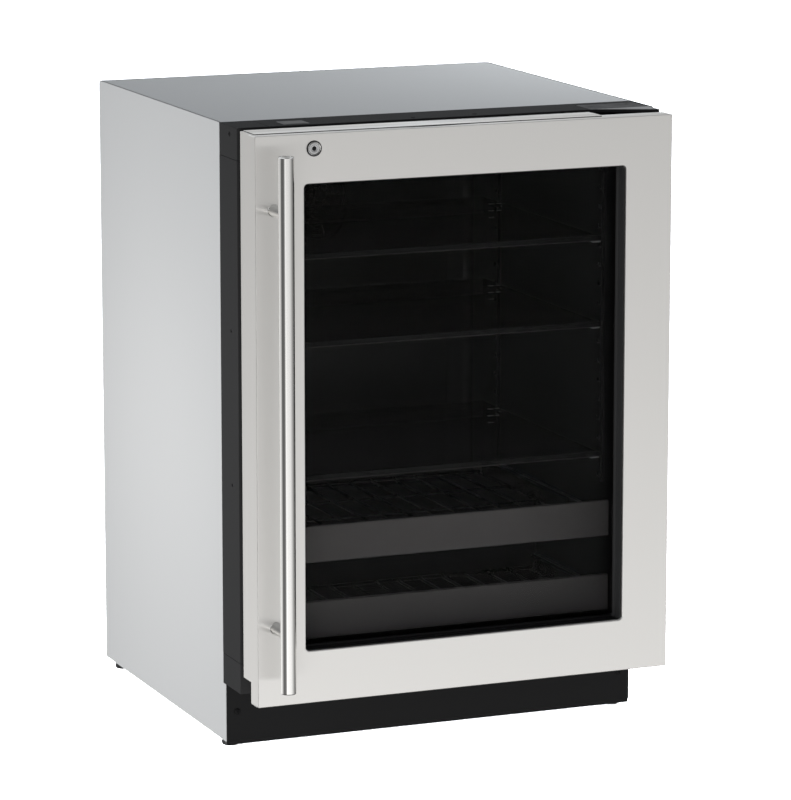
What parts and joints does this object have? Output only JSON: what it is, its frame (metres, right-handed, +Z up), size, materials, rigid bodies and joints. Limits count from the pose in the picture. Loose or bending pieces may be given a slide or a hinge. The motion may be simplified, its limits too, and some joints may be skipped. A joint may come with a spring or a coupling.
{
  "type": "undercounter refrigerator",
  "caption": "Undercounter refrigerator with a glazed stainless door, round bar handle, glass shelves, pull-out bottle racks and levelling legs.",
  "frame": {"origin": "middle of the footprint on the floor, halfway between the handle's front and the case's rear", "axes": "+Z up, front with the door towards -Y, +X to the right as seen from the front"},
  "size_m": [0.606, 0.6869, 0.86],
  "materials": {
    "grey_paint": "satin light grey powder coat, very fine orange peel",
    "zinc_steel": "galvanised sheet, dull with faint spangle",
    "rubber": "matt black rubber",
    "frame_plastic": "black moulded plastic, fine grain",
    "black_paint": "satin black paint",
    "leg_plastic": "black nylon",
    "liner_plastic": "black formed plastic, slight sheen",
    "foam": "rigid cream foam",
    "shelf_glass": "clear tempered glass",
    "trim_plastic": "black extrusion",
    "black_wire": "black coated wire",
    "fascia_metal": "dark bronze grey satin paint",
    "aluminium": "mill finish fins",
    "fan_plastic": "black moulded blades",
    "light_plastic": "frosted diffuser",
    "panel_plastic": "gloss black touch panel",
    "copper": "drawn copper tube",
    "hinge_paint": "black satin coated steel",
    "stainless": "stainless sheet with a fine straight brush",
    "stainless_bar": "stainless bar, brushed round",
    "lock_metal": "bright plated lock face",
    "door_plastic": "black door frame plastic",
    "door_glass": "clear low-emissivity double glazing",
    "spacer": "dark anodised spacer bar",
    "gasket_rubber": "black magnetic door seal",
    "bushing_plastic": "white acetal bushing"
  },
  "bodies": {
    "cabinet": {"side_panel_left": "grey_paint", "side_panel_right": "grey_paint", "top_panel": "grey_paint", "rear_panel": "zinc_steel", "service_cover": "zinc_steel", "mains_gland": "rubber", "front_frame_rails": "frame_plastic", "corner_covers": "frame_plastic", "kick_plate": "black_paint", "kick_screws": "black_paint", "base_pan": "zinc_steel", "leg_nuts": "zinc_steel", "liner": "liner_plastic", "insulation": "foam", "shelf_strips": "liner_plastic", "shelf_clips": "zinc_steel", "glass_shelves": "shelf_glass", "shelf_trims": "trim_plastic", "rack_rails": "zinc_steel", "evaporator": "aluminium", "evaporator_cover": "liner_plastic", "evaporator_fan_motor": "liner_plastic", "light_strip": "light_plastic", "control_panel": "panel_plastic", "compressor": "black_paint", "compressor_mounts": "rubber", "terminal_box": "liner_plastic", "condenser": "black_wire", "fan_shroud": "liner_plastic", "condenser_fan_motor": "zinc_steel", "filter_drier": "copper", "refrigerant_lines": "copper", "drain_pan": "liner_plastic", "control_box": "zinc_steel", "hinge_bracket_top": "hinge_paint", "hinge_bracket_bottom": "hinge_paint", "hinge_screws": "hinge_paint", "lock_strike": "zinc_steel"},
    "door": {"door_skin": "stainless", "door_stiles": "door_plastic", "door_rails": "door_plastic", "outer_glass": "door_glass", "inner_glass": "door_glass", "glass_spacer": "spacer", "door_gasket": "gasket_rubber", "handle_bar": "stainless_bar", "handle_posts": "stainless_bar", "lock_housing": "stainless_bar", "hinge_bushings": "bushing_plastic"},
    "lock": {"lock_cylinder": "lock_metal"},
    "upper_rack": {"upper_rack_tray": "black_wire", "upper_rack_fascia": "fascia_metal"},
    "lower_rack": {"lower_rack_tray": "black_wire", "lower_rack_fascia": "fascia_metal"},
    "evaporator_fan": {"evaporator_fan_blade": "fan_plastic"},
    "condenser_fan": {"condenser_fan_blade": "fan_plastic"},
    "leg_front_left": {"leg_front_left": "leg_plastic"},
    "leg_rear_left": {"leg_rear_left": "leg_plastic"},
    "leg_front_right": {"leg_front_right": "leg_plastic"},
    "leg_rear_right": {"leg_rear_right": "leg_plastic"}
  },
  "joints": [
    {"name": "door_hinge", "type": "hinge", "parent": "cabinet", "child": "door", "pos_m": [0.287, -0.24505, 0.475], "axis": [0, 0, 1], "range_deg": [0, 105]},
    {"name": "lock_turn", "type": "hinge", "parent": "door", "child": "lock", "pos_m": [-0.219, -0.28795, 0.837], "axis": [0, 1, 0], "range_deg": [0, 90]},
    {"name": "upper_rack_slide", "type": "slide", "parent": "cabinet", "child": "upper_rack", "axis": [0, -1, 0], "range_m": [0, 0.036]},
    {"name": "lower_rack_slide", "type": "slide", "parent": "cabinet", "child": "lower_rack", "axis": [0, -1, 0], "range_m": [0, 0.036]},
    {"name": "evaporator_fan_spin", "type": "hinge", "parent": "cabinet", "child": "evaporator_fan", "pos_m": [0, 0.26395, 0.69], "axis": [0, 1, 0], "continuous": true},
    {"name": "condenser_fan_spin", "type": "hinge", "parent": "cabinet", "child": "condenser_fan", "pos_m": [-0.16, 0.17545, 0.075], "axis": [0, 1, 0], "continuous": true},
    {"name": "leg_front_left_screw", "type": "slide", "parent": "cabinet", "child": "leg_front_left", "axis": [0, 0, -1], "range_m": [0, 0.025]},
    {"name": "leg_rear_left_screw", "type": "slide", "parent": "cabinet", "child": "leg_rear_left", "axis": [0, 0, -1], "range_m": [0, 0.025]},
    {"name": "leg_front_right_screw", "type": "slide", "parent": "cabinet", "child": "leg_front_right", "axis": [0, 0, -1], "range_m": [0, 0.025]},
    {"name": "leg_rear_right_screw", "type": "slide", "parent": "cabinet", "child": "leg_rear_right", "axis": [0, 0, -1], "range_m": [0, 0.025]}
  ]
}
